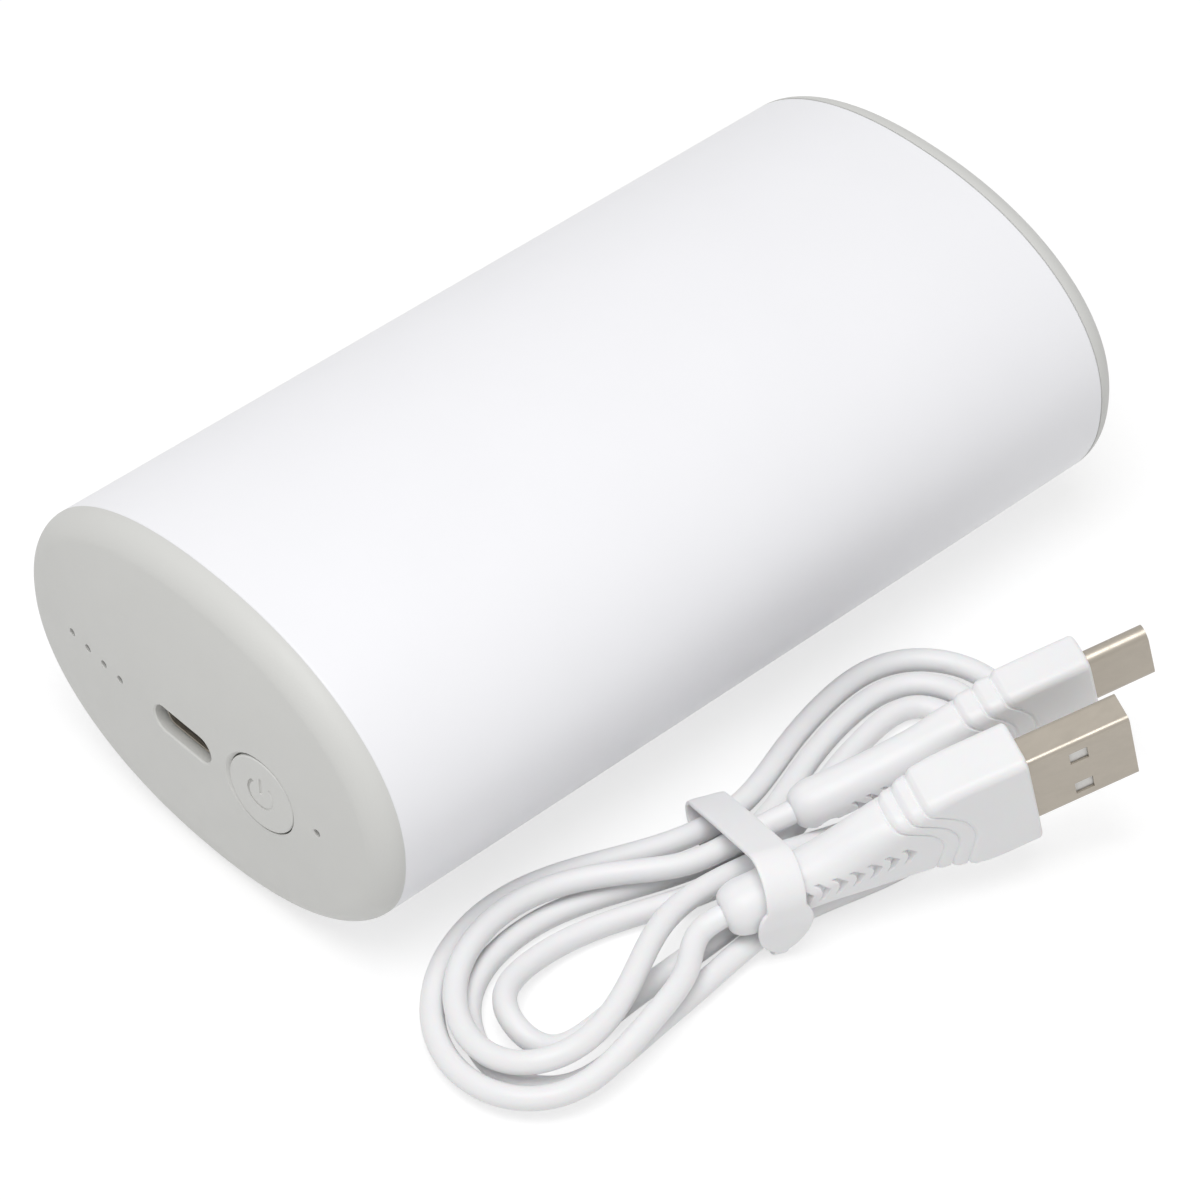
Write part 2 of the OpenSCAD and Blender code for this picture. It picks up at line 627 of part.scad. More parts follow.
module usb_c_plug_insert() {
    color([0.15, 0.15, 0.15]) at_plug_c() difference() {
        along_x(c_length - 5, c_length + 7.9) plug_stadium(7.74, 1.96);
        along_x(c_length - 1, c_length + 9) plug_stadium(6.8, 0.9);
    }
}
module plug_stadium(w, h) {
    rotate(90) stadium(w, h);
}

outer_sleeve();
front_cap();
rear_cap();
battery_cradle_lower();
battery_cradle_upper();
battery_cell_left();
battery_cell_middle();
battery_cell_right();
nickel_strip_front();
nickel_strip_rear();
heating_film_top();
heating_film_bottom();
insulation_pad_top();
insulation_pad_bottom();
circuit_board();
usb_c_receptacle_shell();
usb_c_receptacle_tongue();
controller_chip();
power_inductor();
power_transistors();
capacitors();
battery_leds();
heat_led();
battery_light_pipe();
heat_light_pipe();
tact_switch_body();
tact_switch_plunger();
power_button();
thermistor();
battery_lead_positive();
battery_lead_negative();
heater_leads();
board_screws();
cradle_screws();
lead_cord();
cord_tie();
usb_a_overmould();
usb_a_shell();
usb_a_tongue();
usb_a_contacts();
usb_c_overmould();
usb_c_plug_shell();
usb_c_plug_insert();
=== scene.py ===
# A rechargeable hand warmer lying on a pale table, with its charging lead beside it.
# X is the warmer's width, +Y its length away from the control face, and +Z is up.
import json
import math

import bmesh
import bpy
from mathutils import Matrix, Vector


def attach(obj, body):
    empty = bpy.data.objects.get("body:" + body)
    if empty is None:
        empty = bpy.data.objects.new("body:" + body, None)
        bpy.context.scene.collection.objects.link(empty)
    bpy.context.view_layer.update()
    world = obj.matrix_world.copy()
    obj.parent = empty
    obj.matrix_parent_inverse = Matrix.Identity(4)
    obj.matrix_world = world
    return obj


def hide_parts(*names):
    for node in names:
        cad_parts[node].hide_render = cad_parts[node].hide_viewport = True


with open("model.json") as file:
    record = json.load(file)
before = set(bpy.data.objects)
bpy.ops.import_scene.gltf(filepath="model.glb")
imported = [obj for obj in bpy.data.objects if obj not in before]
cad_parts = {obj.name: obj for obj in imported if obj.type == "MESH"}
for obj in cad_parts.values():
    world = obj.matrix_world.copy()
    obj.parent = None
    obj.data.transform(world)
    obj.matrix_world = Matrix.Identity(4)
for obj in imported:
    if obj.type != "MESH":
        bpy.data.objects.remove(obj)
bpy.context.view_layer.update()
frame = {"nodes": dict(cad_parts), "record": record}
MM = 0.001

# Camera
CAMERA_PLACE = (355.4, -321.8, 459.5)
CAMERA_TURN = 47.57
CAMERA_TILT = 43.55
CAMERA_LENS = 154.9
CAMERA_SENSOR = 36
CAMERA_CLIP = (0.01, 20)


def make_camera():
    turn = math.radians(CAMERA_TURN)
    tilt = math.radians(CAMERA_TILT)
    right = Vector((math.cos(turn), math.sin(turn), 0))
    up = Vector((-math.sin(turn) * math.sin(tilt), math.cos(turn) * math.sin(tilt),
                 math.cos(tilt)))
    back = right.cross(up)
    data = bpy.data.cameras.new("camera")
    data.lens = CAMERA_LENS
    data.sensor_width = CAMERA_SENSOR
    data.clip_start, data.clip_end = CAMERA_CLIP
    camera = bpy.data.objects.new("camera", data)
    way = Matrix((right, up, back)).transposed().to_4x4()
    camera.matrix_world = Matrix.Translation(Vector(CAMERA_PLACE) * MM) @ way
    bpy.context.collection.objects.link(camera)
    bpy.context.scene.camera = camera


make_camera()


# Materials
NOISE_ROUGHNESS = 0.55
NOISE_SPAN = (0.3, 0.7)
REFRACTION = 1.46
COAT_ROUGHNESS = 0.15
GLOW_DEPTH = 0.0008
GLOSS_SHARE = 0.3


def plain(red, green, blue):
    """A screen colour, 0 to 255, as the shader's own values."""
    shares = (red / 255, green / 255, blue / 255)
    return tuple(s / 12.92 if s <= 0.04045 else ((s + 0.055) / 1.055) ** 2.4 for s in shares)


def scaled(color, k):
    return tuple(min(c * k, 1) for c in color) + (1,)


def add_node(tree, kind, inputs=(), **settings):
    node = tree.nodes.new(kind)
    for key, value in settings.items():
        setattr(node, key, value)
    for key, value in inputs:
        if isinstance(value, bpy.types.NodeSocket):
            tree.links.new(value, node.inputs[key])
        else:
            node.inputs[key].default_value = value
    return node


def noise(tree, place, size, detail=4.0):
    """Noise whose lumps are about size millimetres across."""
    return add_node(tree, "ShaderNodeTexNoise",
                    [("Vector", place), ("Scale", 1 / (size * MM)), ("Detail", detail),
                     ("Roughness", NOISE_ROUGHNESS)]).outputs["Fac"]


def ranged(tree, value, low, high):
    """The middle of the noise's span, spread from low to high."""
    return add_node(tree, "ShaderNodeMapRange",
                    [("Value", value), ("From Min", NOISE_SPAN[0]), ("From Max", NOISE_SPAN[1]),
                     ("To Min", low), ("To Max", high)]).outputs["Result"]


def surface(name, color, rough, metallic=0.0, tone=0.03, tone_size=14.0, grain=0.35,
            depth=0.012, stretch=(1, 1, 1), uneven=0.05, coat=0.0, glow=0.0):
    """A moulded, painted or plated surface. Its tone drifts over tone_size millimetres, its
    gloss is uneven, and a grain of depth millimetres breaks the highlight."""
    material = bpy.data.materials.new(name)
    material.use_nodes = True
    tree = material.node_tree
    shader = tree.nodes["Principled BSDF"]
    shader.inputs["Metallic"].default_value = metallic
    shader.inputs["IOR"].default_value = REFRACTION
    shader.inputs["Coat Weight"].default_value = coat
    shader.inputs["Coat Roughness"].default_value = COAT_ROUGHNESS
    shader.inputs["Subsurface Weight"].default_value = glow
    shader.inputs["Subsurface Scale"].default_value = GLOW_DEPTH
    object_place = add_node(tree, "ShaderNodeTexCoord").outputs["Object"]
    place = add_node(tree, "ShaderNodeMapping",
                     [("Vector", object_place), ("Scale", stretch)]).outputs["Vector"]
    drift = ranged(tree, noise(tree, place, tone_size), 0, 1)
    mix = add_node(tree, "ShaderNodeMix", [(0, drift), (6, scaled(color, 1 - tone)),
                                           (7, scaled(color, 1 + tone))], data_type="RGBA")
    tree.links.new(mix.outputs[2], shader.inputs["Base Color"])
    patches = noise(tree, place, tone_size * GLOSS_SHARE, 6)
    gloss = ranged(tree, patches, rough - uneven, rough + uneven)
    tree.links.new(gloss, shader.inputs["Roughness"])
    fine = noise(tree, place, grain, 3)
    bump = add_node(tree, "ShaderNodeBump",
                    [("Height", fine), ("Distance", depth * MM), ("Strength", 1.0)])
    tree.links.new(bump.outputs["Normal"], shader.inputs["Normal"])
    return material


# Each surface's screen colour and roughness, and what else sets it apart
SURFACES = {
    "sleeve_white": ((246, 246, 249), 0.42, dict(tone=0.006, grain=0.5, depth=0.006,
                                                 uneven=0.04)),
    "cap_grey": ((214, 214, 211), 0.55, dict(tone=0.012, grain=0.28, depth=0.014)),
    "button_grey": ((215, 215, 212), 0.5, dict(tone=0.012, grain=0.28, depth=0.012)),
    "light_guide": ((70, 70, 72), 0.25, dict(tone=0.1, grain=0.2, coat=0.4)),
    "cradle_black": ((52, 54, 58), 0.6, dict(tone=0.08)),
    "cell_wrap": ((48, 108, 150), 0.3, dict(tone=0.06, coat=0.3)),
    "nickel": ((196, 194, 186), 0.32, dict(metallic=1.0, stretch=(1, 1, 8), grain=0.1)),
    "heating_film": ((208, 132, 52), 0.3, dict(tone=0.08, coat=0.3)),
    "foam": ((84, 84, 88), 0.9, dict(tone=0.12, grain=0.6, depth=0.15)),
    "board_green": ((30, 92, 54), 0.35, dict(tone=0.1, coat=0.2)),
    "contact_steel": ((180, 172, 160), 0.36, dict(metallic=0.6, tone_size=5,
                                                  stretch=(3, 1, 3), grain=0.12,
                                                  depth=0.002)),
    "black_insert": ((38, 38, 38), 0.5, dict(tone=0.1)),
    "ferrite": ((54, 54, 56), 0.7, dict(tone=0.15, depth=0.03)),
    "ceramic": ((184, 152, 116), 0.4, dict(tone=0.08)),
    "led_white": ((232, 230, 210), 0.35, dict(tone=0.04)),
    "wire_red": ((180, 36, 32), 0.4, dict(tone=0.06)),
    "wire_black": ((40, 40, 40), 0.4, dict(tone=0.1)),
    "wire_white": ((222, 222, 214), 0.4, dict(tone=0.04)),
    "screw_steel": ((176, 176, 180), 0.35, dict(metallic=1.0, tone=0.06)),
    "lead_white": ((240, 240, 241), 0.45, dict(tone=0.01, grain=0.3, depth=0.008,
                                               glow=0.15)),
    "tie_white": ((243, 243, 244), 0.55, dict(tone=0.014, grain=0.3, glow=0.15)),
    "plug_tongue": ((236, 235, 232), 0.45, dict()),
    "contact_gold": ((214, 178, 92), 0.28, dict(metallic=1.0, tone=0.05)),
}
MATERIALS = {name: surface(name, plain(*color), rough, **more)
             for name, (color, rough, more) in SURFACES.items()}


def dress_cad_nodes():
    for part in frame["record"]["subparts"]:
        node = frame["nodes"][part["node"]]
        for socket in node.material_slots:
            socket.material = MATERIALS[part["material_slot"]]


dress_cad_nodes()


# Shapes
def smooth(t):
    u = min(max(t, 0), 1)
    return u * u * (3 - 2 * u)


def lerp(a, b, t):
    return a + (b - a) * t


def keyed(values, t):
    last = len(values) - 1
    i = min(int(t * last), last - 1)
    return lerp(values[i], values[i + 1], smooth(t * last - i))


def eased_step(p, p_way, q, q_way, t):
    """A point at share t from p to q, leaving along p_way and arriving along q_way."""
    return ((2 * t ** 3 - 3 * t ** 2 + 1) * p + (t ** 3 - 2 * t ** 2 + t) * p_way
            + (3 * t ** 2 - 2 * t ** 3) * q + (t ** 3 - t ** 2) * q_way)


def table(keys, x):
    """Value at x on a smooth curve through (x, value) keys."""
    last = len(keys) - 1
    i = max([k for k in range(last) if keys[k][0] <= x], default=0)
    ways = []
    for k in (i, i + 1):
        (xa, va), (xb, vb) = keys[max(k - 1, 0)], keys[min(k + 1, last)]
        ways.append((vb - va) / (xb - xa))
    (x0, v0), (x1, v1) = keys[i], keys[i + 1]
    t = min(max((x - x0) / (x1 - x0), 0), 1)
    return eased_step(v0, ways[0] * (x1 - x0), v1, ways[1] * (x1 - x0), t)


def evenly(line, count):
    """Count points at even distances along the line, from its first to its last."""
    lengths = [(b - a).length for a, b in zip(line, line[1:])]
    step = sum(lengths) / (count - 1)
    result = [line[0]]
    i = 0
    gone = 0
    for k in range(1, count - 1):
        while gone + lengths[i] < k * step:
            gone += lengths[i]
            i += 1
        result.append(line[i].lerp(line[i + 1], (k * step - gone) / lengths[i]))
    return result + [line[-1]]


def eased(line, passes):
    """The line with its bends eased, and its ends where they are."""
    for _ in range(passes):
        middle = [(p + 2 * q + r) / 4 for p, q, r in zip(line, line[1:], line[2:])]
        line = [line[0]] + middle + [line[-1]]
    return line


def angles(count):
    return [2 * math.pi * i / count for i in range(count)]


def quarter(steps):
    """Angles from 0 to a right angle."""
    return [math.pi / 2 * i / steps for i in range(steps + 1)]


def turned(degrees):
    """Turns about X, then Y, then Z."""
    x, y, z = (Matrix.Rotation(math.radians(a), 3, axis) for a, axis in zip(degrees, "XYZ"))
    return z @ y @ x


def power_point(a, b, angle, power):
    """A point on a rounded oval of half axes a and b."""
    c = math.cos(angle)
    s = math.sin(angle)
    return (a * math.copysign(abs(c) ** (2 / power), c),
            b * math.copysign(abs(s) ** (2 / power), s))


def mesh_of(name, points, faces):
    """A mesh from points in millimetres, with its faces turned outwards."""
    mesh = bpy.data.meshes.new(name)
    mesh.from_pydata([Vector(p) * MM for p in points], [], faces)
    shape = bmesh.new()
    shape.from_mesh(mesh)
    bmesh.ops.recalc_face_normals(shape, faces=shape.faces)
    shape.to_mesh(mesh)
    shape.free()
    piece = bpy.data.objects.new(name, mesh)
    bpy.context.collection.objects.link(piece)
    return piece


def loft(name, rings, first=None, last=None, closed=False):
    """Rings of equal count joined in order: closed in a loop, or ended by middle points."""
    count = len(rings[0])
    points = [p for ring in rings for p in ring]
    steps = len(rings) if closed else len(rings) - 1
    faces = []
    for k in range(steps):
        a = k * count
        b = (k + 1) % len(rings) * count
        for i in range(count):
            j = (i + 1) % count
            faces.append((a + i, a + j, b + j, b + i))
    for middle, start in ((first, 0), (last, (len(rings) - 1) * count)):
        if middle is not None:
            points.append(middle)
            faces += [(start + i, start + (i + 1) % count, len(points) - 1) for i in range(count)]
    return mesh_of(name, points, faces)


def cut(piece, tools):
    """Takes the tools out of the piece, and removes them."""
    for tool in tools:
        step = piece.modifiers.new("cut", "BOOLEAN")
        step.object = tool
        step.operation = "DIFFERENCE"
        step.solver = "EXACT"
    evaluated = piece.evaluated_get(bpy.context.evaluated_depsgraph_get())
    piece.data = bpy.data.meshes.new_from_object(evaluated)
    piece.modifiers.clear()
    for tool in tools:
        bpy.data.objects.remove(tool)


def dress(piece, slot, body, nodes=(), sharp=28):
    """Gives a piece its material, its soft shading and its body."""
    piece.data.materials.clear()
    piece.data.materials.append(MATERIALS[slot])
    if piece.type == "MESH":
        piece.data.shade_smooth()
        piece.data.set_sharp_from_angle(angle=math.radians(sharp))
    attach(piece, body)
    if nodes:
        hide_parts(*nodes)
    return piece


# Charging lead, whose route is a hank of seven half loops about a waist
CORD_D = 3.0
A_END = Vector((54.3, -26.6, 6.9))
A_TURN = (6.7, -14, 67.8)
C_END = Vector((47.7, -8.8, 7.2))
C_TURN = (3, -14, 68.4)
WAIST = (49.8, -17.6)
WAIST_LIFT = 1.2
WAIST_SLANT = 0.35
LOW = 1.5
NEAR_REACH = 47.2
FAR_REACH = 46.6
NEAR_HALF = 14.7
FAR_HALF = 12.6
NEAR_BOW = 4.6
FAR_LEAN = 5.5
FAR_LEAN_RATE = 1.1
SLANT_REACH = 24
LIFT_REACH = 14
# Side, inset and lane at both ends, heights, and the share in which the inset changes
HALF_LOOPS = [
    (-1, 0.1, 0.1, -1.7, 9.6, (LOW, 6.4, 3.9, 2.6, 2.3, 2.3, LOW), 0.2, 0.6),
    (1, -0.2, -1.2, 9.6, 6.5, (LOW, LOW, 1.9, 2.2, 2.1, LOW, LOW), 0.2, 0.6),
    (-1, 1.4, 5.1, 6.5, 5.1, (LOW, 2.3, LOW, 1.6, LOW, LOW, 1.6), 0.2, 0.6),
    (1, 3.4, 3.6, 5.1, 3.3, (1.6, LOW, LOW, 2.1, 2.5, 2.4, LOW), 0.2, 0.6),
    (-1, 6.9, 10, 3.3, 1.2, (LOW, 1.6, LOW, 4.3, 3.5, 1.6, 1.6), 0.2, 0.6),
    (1, 7.6, 7.1, 1.2, 0.1, (1.6, 1.9, 1.8, LOW, LOW, LOW, 5), 0.2, 0.6),
    (-1, 15, 3.2, 0.1, 1.8, (5, 7, 7, 4.6, 4.5, 4.9, 5), 0.06, 0.24),
]
# Shares of a half loop: a straight run, and the part of it in which the lanes spread
RUN_SHARE = 0.27
SPREAD_SHARE = 0.72
FIRST_SHARE = 0.14
LAST_SHARE = 0.92
STEPS_PER_HALF = 60
BRIDGE_STEPS = 30
EASING_PASSES = 12
STRAIGHT_L = 3
CORD_BEVEL = 7
# The drawn cord is eased once more in even steps, within a millimetre of the solid's route
DRAWN_POINTS = 860
DRAWN_PASSES = 18


def hank_point(row, t):
    """The point at share t of a half loop."""
    side, inset0, inset1, lane0, lane1, heights, change0, change1 = row
    inset = lerp(inset0, inset1, smooth((t - change0) / (change1 - change0)))
    r = (NEAR_HALF if side < 0 else FAR_HALF) - inset
    reach = NEAR_REACH if side < 0 else FAR_REACH
    run = reach - inset - r
    q = min(t, 1 - t) / RUN_SHARE
    if q < 1:
        lane = lane0 if t < 0.5 else lane1
        a = run * q
        b = (1 if t < 0.5 else -1) * (lane + (r - lane) * smooth(q / SPREAD_SHARE))
    else:
        turn = math.pi * (t - RUN_SHARE) / (1 - 2 * RUN_SHARE)
        a = run + r * math.sin(turn)
        b = r * math.cos(turn)
    u = a / reach
    if side < 0:
        bow = NEAR_BOW * math.sin(math.pi * u) ** 2
    else:
        bow = FAR_LEAN * smooth(FAR_LEAN_RATE * u)
    x = WAIST[0] - bow - side * b
    slant = WAIST_SLANT * (x - WAIST[0]) * (1 - smooth(a / SLANT_REACH))
    lift = WAIST_LIFT * (1 - smooth(a / LIFT_REACH))
    return Vector((x, WAIST[1] + side * a - slant, keyed(heights, t) + lift))


def bridge(p, dp, q, dq):
    """Points on a smooth curve from p along dp to q along dq."""
    s = (q - p).length
    return [eased_step(p, s * dp, q, s * dq, i / BRIDGE_STEPS) for i in range(BRIDGE_STEPS + 1)]


def cord_route():
    wound = []
    for j, row in enumerate(HALF_LOOPS):
        low = FIRST_SHARE if j == 0 else 0
        high = LAST_SHARE if j == len(HALF_LOOPS) - 1 else 1
        steps = round(STEPS_PER_HALF * (high - low))
        wound += [hank_point(row, low + (high - low) * i / steps) for i in range(steps)]
    wound.append(hank_point(HALF_LOOPS[-1], LAST_SHARE))
    a_out = -(turned(A_TURN) @ Vector((1, 0, 0)))
    c_in = turned(C_TURN) @ Vector((1, 0, 0))
    first = bridge(A_END + STRAIGHT_L * a_out, a_out,
                   wound[0], (wound[1] - wound[0]).normalized())
    last = bridge(wound[-1], (wound[-1] - wound[-2]).normalized(),
                  C_END - STRAIGHT_L * c_in, c_in)
    route = [A_END] + eased(first + wound[1:-1] + last, EASING_PASSES) + [C_END]
    return eased(evenly(route, DRAWN_POINTS), DRAWN_PASSES)


def make_cord():
    route = cord_route()
    curve = bpy.data.curves.new("lead_cord_round", "CURVE")
    curve.dimensions = "3D"
    line = curve.splines.new("POLY")
    line.points.add(len(route) - 1)
    for point, place in zip(line.points, route):
        point.co = (*(place * MM), 1)
    line.use_smooth = True
    curve.bevel_depth = CORD_D / 2 * MM
    curve.bevel_resolution = CORD_BEVEL
    cord = bpy.data.objects.new("lead_cord_round", curve)
    bpy.context.collection.objects.link(cord)
    dress(cord, "lead_white", "charging_lead", ["lead_cord"])


# Plug grips, each with its relief: rounded boxes lofted along the plug
GRIP_SIDES = 240
RING_STEP = 0.09
BODY_STEP = 0.4
START_ROUND_L = 3.0
START_ROUND = 1.7
START_STEPS = 10
END_ROUND = 0.6
END_STEPS = 8
GROOVE_HALF = 0.28
GROOVE_DEPTH = 0.24
LAYER_RISE_L = 0.9
LAYER_ROOM = 1.5
SWEEP_START = 13
SWEEP_END_ROOM = 1
CORNER_ROOM = 0.01
POCKET_L = 2.1
POCKET_REACH = 1.45
POCKET_DEPTH = 0.75
POCKET_SIDE_L = 0.5
ARROW_SLOPE = 0.8
ARROW_EDGE_L = 0.3
TONGUE_GAP = 1.15
TONGUE_CURVE = 0.45
TONGUE_EDGE_L = 0.15
DIMPLE_DEPTH = 0.7
DIMPLE_EDGE_L = 0.3
# Share of the sweep at a share of the width, from the upper edge at -1 to the lower at 1
SWEEP = [(-1, 0), (-0.9, 0.06), (-0.8, 0.17), (-0.6, 0.48), (-0.3, 0.83), (0, 0.98),
         (0.25, 1), (0.5, 0.88), (0.75, 0.75), (1, 0.7)]
# Widths, depths and corner radii are (x, value) keys. A layer starts at each line, given by
# its x on the upper side, adds to the width and the depth, and starts further on across the
# faces, by the sweep. The pockets are the first tip's x, their pitch and count, and the first
# and last place across the face. The dimple is its x, its place across and its radius.
GRIPS = {
    "usb_a_grip": {
        "node": "usb_a_overmould", "end": A_END, "turn": A_TURN, "length": 39.8,
        "half_width": [(0, 3.4), (8, 3.45), (13, 4.0), (18, 5.4), (21.5, 6.05), (24, 6.2),
                       (30, 7.0), (39.8, 7.05)],
        "half_depth": [(0, 3.6), (20, 3.4), (39.8, 3.45)],
        "corner": [(0, 3.3), (15, 3.1), (22, 2.2), (28, 1.3), (39.8, 1.2)],
        "lines": (22, 24, 26.1), "layer": (0.45, 0.1), "sweep": 5.5,
        "pockets": (8.4, 2.25, 8, 1.0, 0.4)},
    "usb_c_grip": {
        "node": "usb_c_overmould", "end": C_END, "turn": C_TURN, "length": 40,
        "half_width": [(0, 3.0), (8, 3.0), (16, 3.5), (20, 4.2), (23, 4.6), (26, 4.7),
                       (40, 4.7)],
        "half_depth": [(0, 3.1), (20, 2.8), (40, 2.7)],
        "corner": [(0, 2.8), (15, 2.7), (22, 2.0), (28, 1.3), (40, 1.2)],
        "lines": (23.1, 25.9, 28.5), "layer": (0.42, 0.08), "sweep": 3.1,
        "pockets": (8.6, 2.0, 5, -0.9, -0.6), "dimple": (3.6, -1.9, 1.3)},
}


def rounded_box(half_depth, half_width, corner):
    """Points at even distances round a section, from the middle of its upper narrow side."""
    flat_y = half_depth - corner
    flat_z = half_width - corner
    arc = math.pi / 2 * corner
    corner_to_side = flat_y + arc + flat_z
    points = []
    for i in range(GRIP_SIDES):
        turn, part = divmod(i * 4 / GRIP_SIDES, 2)
        s = (part if part <= 1 else 2 - part) * corner_to_side
        if s < flat_y:
            y, z = s, half_width
        elif s < flat_y + arc:
            angle = (s - flat_y) / corner
            y, z = flat_y + corner * math.sin(angle), flat_z + corner * math.cos(angle)
        else:
            y, z = half_depth, corner_to_side - s
        lower = -1 if part > 1 else 1
        points.append((-y, z * lower) if turn == 0 else (y, -z * lower))
    return points


def grip_levels(lines, length):
    """Where the rings are along the plug, closer together on the relief and its layers."""
    levels = [START_ROUND_L * (1 - math.cos(a)) for a in quarter(START_STEPS)[:-1]]
    body = lines[-1] + LAYER_ROOM
    count = round((body - START_ROUND_L) / RING_STEP)
    levels += [lerp(START_ROUND_L, body, i / count) for i in range(count)]
    count = round((length - END_ROUND - body) / BODY_STEP)
    levels += [lerp(body, length - END_ROUND, i / count) for i in range(count)]
    return levels + [length - END_ROUND * (1 - math.sin(a)) for a in quarter(END_STEPS)]


def grip_inset(level, lines, length):
    """How far a ring is drawn in by the round ends and the groove at each layer's start."""
    inset = 0
    for line in lines:
        inset += GROOVE_DEPTH * max(0, 1 - abs(level - line) / GROOVE_HALF)
    front = 1 - level / START_ROUND_L
    if front > 0:
        inset += START_ROUND * (1 - math.sqrt(1 - front ** 2))
    back = (level - length + END_ROUND) / END_ROUND
    if back > 0:
        inset += END_ROUND * (1 - math.sqrt(max(1 - back ** 2, 0)))
    return inset


def pocket_depth(x, z, pockets):
    """Depth of the pockets along the relief. Each is an arrow that points to the plug, with a
    round tongue reaching into it from behind."""
    first, pitch, count, place0, place1 = pockets
    k = math.ceil((x - first) / pitch)
    if not 0 <= k < count:
        return 0
    back = first + k * pitch - x
    across = abs(z - lerp(place0, place1, k / (count - 1)))
    if back > POCKET_L or across > POCKET_REACH:
        return 0
    arrow = smooth((back - ARROW_SLOPE * across) / ARROW_EDGE_L)
    tongue = smooth((TONGUE_GAP + TONGUE_CURVE * across ** 2 - back) / TONGUE_EDGE_L)
    return POCKET_DEPTH * arrow * tongue * smooth((POCKET_REACH - across) / POCKET_SIDE_L)


def dimple_depth(x, z, dimple):
    dimple_x, dimple_z, radius = dimple
    away = math.hypot(x - dimple_x, z - dimple_z)
    return DIMPLE_DEPTH * smooth((radius - away) / DIMPLE_EDGE_L)


def make_grip(name):
    shape = GRIPS[name]
    length = shape["length"]
    lines = shape["lines"]
    turn = turned(shape["turn"])
    rings = []
    for level in grip_levels(lines, length):
        layers = sum(smooth((level - line) / LAYER_RISE_L) for line in lines)
        inset = grip_inset(level, lines, length)
        half_width = table(shape["half_width"], level) + shape["layer"][0] * layers - inset
        half_depth = table(shape["half_depth"], level) + shape["layer"][1] * layers - inset
        corner = min(table(shape["corner"], level), half_width - CORNER_ROOM,
                     half_depth - CORNER_ROOM)
        swept = smooth((level - SWEEP_START) / (lines[0] - SWEEP_START))
        fade_l = length - SWEEP_END_ROOM - lines[-1]
        swept *= shape["sweep"] * (1 - smooth((level - lines[-1]) / fade_l))
        ring = []
        for y, z in rounded_box(half_depth, half_width, corner):
            x = level + swept * table(SWEEP, -z / half_width)
            if y < 0:
                y += pocket_depth(x, z, shape["pockets"])
            if y < 0 and "dimple" in shape:
                y += dimple_depth(x, z, shape["dimple"])
            ring.append(shape["end"] + turn @ Vector((x, y, z)))
        rings.append(ring)
    first = shape["end"]
    last = shape["end"] + turn @ Vector((length, 0, 0))
    piece = loft(name, rings, first, last)
    return dress(piece, "lead_white", "charging_lead", [shape["node"]], sharp=50)


# Tie round the waist
TIE_PLACE = Vector((49.6, -17.87, 0))
TIE_HEADING = 67.8
TIE_WIDTH = 5.0
TIE_THICK = 0.7
# What the strap goes round: the outer strands and the relief, each with its radius
TIE_ROUND = [(-12.8, 2.3, 1.4), (-4.6, 6.6, 1.4), (4.8, 2.3, 1.4), (9, 2.4, 1.4),
             (7.7, 7.9, 3.85), (7.7, 10, 3.85)]
TIE_GAP = 0.2
# The strap's round end lies over the relief and reaches down to the floor. Below its middle
# the strap itself is a narrow tail, hidden behind it.
TIE_TAB = Vector((12.1, 7.6))
TIE_TAB_R = 3.5
TIE_TAB_DROP = 6.2
TIE_TAIL_WIDTH = 1.8
TIE_TAIL_FADE = 2
TIE_TAIL_X = -6
TIE_TAIL_FADE_X = 3
TIE_STEPS = 240
TIE_SIDES = 40
TIE_POWER = 5
TIE_DOTS = 96


def hull(points):
    """Convex hull of flat points, in order."""
    ordered = sorted(points)
    sides = []
    for run in (ordered, ordered[::-1]):
        side = []
        for p in run:
            while len(side) > 1 and ((side[-1][0] - side[-2][0]) * (p[1] - side[-2][1])
                                     <= (side[-1][1] - side[-2][1]) * (p[0] - side[-2][0])):
                side.pop()
            side.append(p)
        sides += side[:-1]
    return sides


def tie_line():
    """The middle of the strap's thickness, once round."""
    dots = []
    for cx, cy, inner in TIE_ROUND:
        radius = inner + TIE_GAP + TIE_THICK / 2
        dots += [(cx + radius * math.cos(a), cy + radius * math.sin(a)) for a in angles(TIE_DOTS)]
    outline = [Vector(p) for p in hull(dots)]
    return evenly(outline + outline[:1], TIE_STEPS + 1)[:-1]


def tie_half_width(p):
    reach = p - TIE_TAB
    drop = reach.y if reach.y > 0 else reach.y * TIE_TAB_R / TIE_TAB_DROP
    tab = math.sqrt(max(TIE_TAB_R ** 2 - math.hypot(reach.x, drop) ** 2, 0))
    below = smooth(-reach.y / TIE_TAIL_FADE) * smooth((p.x - TIE_TAIL_X) / TIE_TAIL_FADE_X)
    return max(lerp(TIE_WIDTH, TIE_TAIL_WIDTH, below) / 2, tab)


def make_tie():
    line = tie_line()
    basis = turned((90, 0, TIE_HEADING - 90))
    rings = []
    for k, p in enumerate(line):
        along = (line[(k + 1) % TIE_STEPS] - line[k - 1]).normalized()
        out = Vector((along.y, -along.x))
        ring = []
        for angle in angles(TIE_SIDES):
            v, u = power_point(TIE_THICK / 2, tie_half_width(p), angle, TIE_POWER)
            q = p + out * v
            ring.append(TIE_PLACE + basis @ Vector((q.x, q.y, u)))
        rings.append(ring)
    tie = loft("cord_tie_strap", rings, closed=True)
    return dress(tie, "tie_white", "charging_lead", ["cord_tie"], sharp=60)


lead_pieces = [make_grip(name) for name in GRIPS] + [make_tie()]
make_cord()

